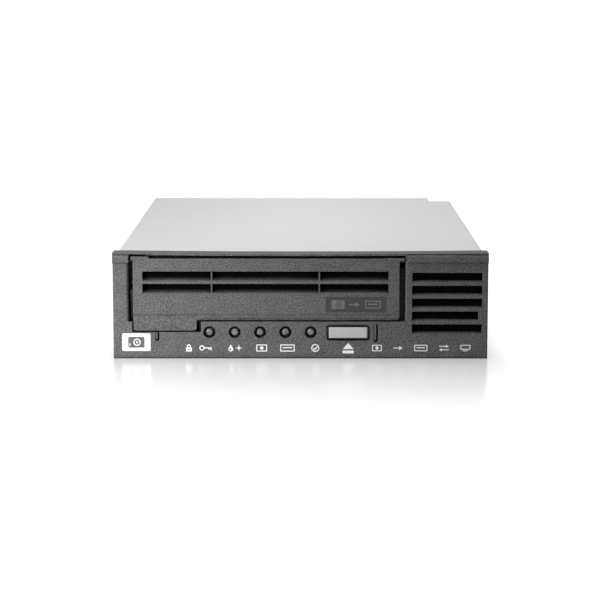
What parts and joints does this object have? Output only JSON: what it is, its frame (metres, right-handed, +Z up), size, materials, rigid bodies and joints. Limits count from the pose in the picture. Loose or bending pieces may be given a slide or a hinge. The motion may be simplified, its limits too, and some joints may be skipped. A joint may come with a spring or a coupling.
{
  "type": "data tape drive",
  "caption": "Bay-mount data tape drive with a sprung cartridge door, louvred front panel, indicator lights, eject button and a full threading mechanism.",
  "frame": {"origin": "middle of the drive's bounding box in plan, on the plane of its lowest face, the front panel's lower edge", "axes": "+X to the right as seen from the front, +Y from the front panel to the rear panel, +Z up"},
  "size_m": [0.1484, 0.21, 0.0423],
  "materials": {
    "bezel_plastic": "fine spark-eroded grain, charcoal",
    "lid_metal": "pale satin plated sheet",
    "cast_alloy": "die-cast, satin",
    "bright_steel": "satin",
    "screw_steel": "zinc plated",
    "button_plastic": "smooth grey",
    "badge_white": "smooth white",
    "lens_clear": "translucent light pipe",
    "board_green": "soldermask over glass fibre",
    "chip_black": "moulded epoxy",
    "inner_plastic": "satin black",
    "reel_plastic": "satin grey",
    "magnet_cup": "turned",
    "coil_copper": "wound copper",
    "head_ceramic": "polished",
    "ribbon_tan": "flat film cable",
    "led_body": "clear resin"
  },
  "bodies": {
    "chassis": {"base_deck": "cast_alloy", "board_capacitors": "magnet_cup", "board_chips": "chip_black", "board_screws": "screw_steel", "bottom_cover": "lid_metal", "cover_screws": "screw_steel", "door_spring": "bright_steel", "eject_switch": "inner_plastic", "fan_frame": "inner_plastic", "fan_screws": "screw_steel", "front_badge": "badge_white", "front_bezel": "bezel_plastic", "front_board": "board_green", "head_frame": "bright_steel", "head_stepper": "magnet_cup", "hinge_pins": "bright_steel", "indicator_leds": "led_body", "indicator_lens_1": "lens_clear", "indicator_lens_2": "lens_clear", "indicator_lens_3": "lens_clear", "indicator_lens_4": "lens_clear", "indicator_lens_5": "lens_clear", "loader_bracket": "bright_steel", "loader_guide_left": "bright_steel", "loader_guide_right": "bright_steel", "loader_motor": "magnet_cup", "main_board": "board_green", "memory_reader": "board_green", "panel_ribbon": "ribbon_tan", "rear_panel": "lid_metal", "roller_posts": "bright_steel", "sas_connector": "inner_plastic", "service_port": "inner_plastic", "supply_bearing": "screw_steel", "supply_motor": "coil_copper", "takeup_stator": "coil_copper", "top_cover": "lid_metal"},
    "door": {"cartridge_door": "bezel_plastic"},
    "eject_key": {"eject_button": "button_plastic", "switch_plunger": "inner_plastic"},
    "fan_wheel": {"fan_rotor": "inner_plastic"},
    "takeup": {"takeup_reel": "reel_plastic", "takeup_rotor": "magnet_cup"},
    "supply": {"supply_chuck": "inner_plastic", "supply_rotor": "magnet_cup"},
    "head": {"tape_head": "head_ceramic", "head_sled": "inner_plastic"},
    "head_drive": {"head_screw": "bright_steel"},
    "arm": {"threading_arm": "bright_steel", "leader_grabber": "inner_plastic"},
    "cam_frame": {"cam_slider_left": "inner_plastic", "cam_slider_right": "inner_plastic", "cam_tie_bar": "bright_steel"},
    "tray": {"cartridge_tray": "bright_steel", "tray_pins": "screw_steel"},
    "loader_drive": {"loader_screw": "bright_steel"},
    "roller_1": {"guide_roller_1": "reel_plastic"},
    "roller_2": {"guide_roller_2": "reel_plastic"},
    "roller_3": {"guide_roller_3": "reel_plastic"},
    "roller_4": {"guide_roller_4": "reel_plastic"}
  },
  "joints": [
    {"name": "door_hinge", "type": "hinge", "parent": "chassis", "child": "door", "pos_m": [-0.0138, -0.1019, 0.0389], "axis": [1, 0, 0], "range_deg": [0, 88], "stiffness_Nm_per_rad": 0.002, "springref_deg": -17.19},
    {"name": "eject_press", "type": "slide", "parent": "chassis", "child": "eject_key", "axis": [0, 1, 0], "range_m": [0, 0.0008], "stiffness_N_per_m": 300, "springref_m": -0.0004},
    {"name": "fan_spin", "type": "hinge", "parent": "chassis", "child": "fan_wheel", "pos_m": [0.041, 0.099, 0.022], "axis": [0, 1, 0], "continuous": true},
    {"name": "takeup_spin", "type": "hinge", "parent": "chassis", "child": "takeup", "pos_m": [-0.024, 0.0605, 0.02], "axis": [0, 0, 1], "continuous": true},
    {"name": "supply_spin", "type": "hinge", "parent": "chassis", "child": "supply", "pos_m": [-0.0138, -0.0435, 0.009], "axis": [0, 0, 1], "continuous": true},
    {"name": "head_lift", "type": "slide", "parent": "chassis", "child": "head", "axis": [0, 0, 1], "range_m": [-0.003, 0.003]},
    {"name": "head_screw_spin", "type": "hinge", "parent": "chassis", "child": "head_drive", "pos_m": [0.046, 0.044, 0.024], "axis": [0, 0, 1], "range_deg": [-545, 545]},
    {"name": "arm_swing", "type": "hinge", "parent": "chassis", "child": "arm", "pos_m": [0.03, 0.044, 0.037], "axis": [0, 0, 1], "range_deg": [0, 183]},
    {"name": "cam_slide", "type": "slide", "parent": "chassis", "child": "cam_frame", "axis": [0, 1, 0], "range_m": [0, 0.012]},
    {"name": "tray_lift", "type": "slide", "parent": "chassis", "child": "tray", "axis": [0, 0, 1], "range_m": [-0.004, 0]},
    {"name": "loader_screw_spin", "type": "hinge", "parent": "chassis", "child": "loader_drive", "pos_m": [0.0505, -0.05, 0.0165], "axis": [0, 1, 0], "range_deg": [-5, 1445]},
    {"name": "roller_1_spin", "type": "hinge", "parent": "chassis", "child": "roller_1", "pos_m": [0.04639, 0.02447, 0.022], "axis": [0, 0, 1], "continuous": true},
    {"name": "roller_2_spin", "type": "hinge", "parent": "chassis", "child": "roller_2", "pos_m": [0.05396, 0.03528, 0.022], "axis": [0, 0, 1], "continuous": true},
    {"name": "roller_3_spin", "type": "hinge", "parent": "chassis", "child": "roller_3", "pos_m": [0.05396, 0.05272, 0.022], "axis": [0, 0, 1], "continuous": true},
    {"name": "roller_4_spin", "type": "hinge", "parent": "chassis", "child": "roller_4", "pos_m": [0.04639, 0.06353, 0.022], "axis": [0, 0, 1], "continuous": true}
  ],
  "couplings": [
    {"joint": "tray_lift", "follows": "cam_slide", "ratio": -0.33333},
    {"joint": "loader_screw_spin", "follows": "cam_slide", "rad_per_m": 2094.4},
    {"joint": "head_screw_spin", "follows": "head_lift", "rad_per_m": 3141.6}
  ]
}
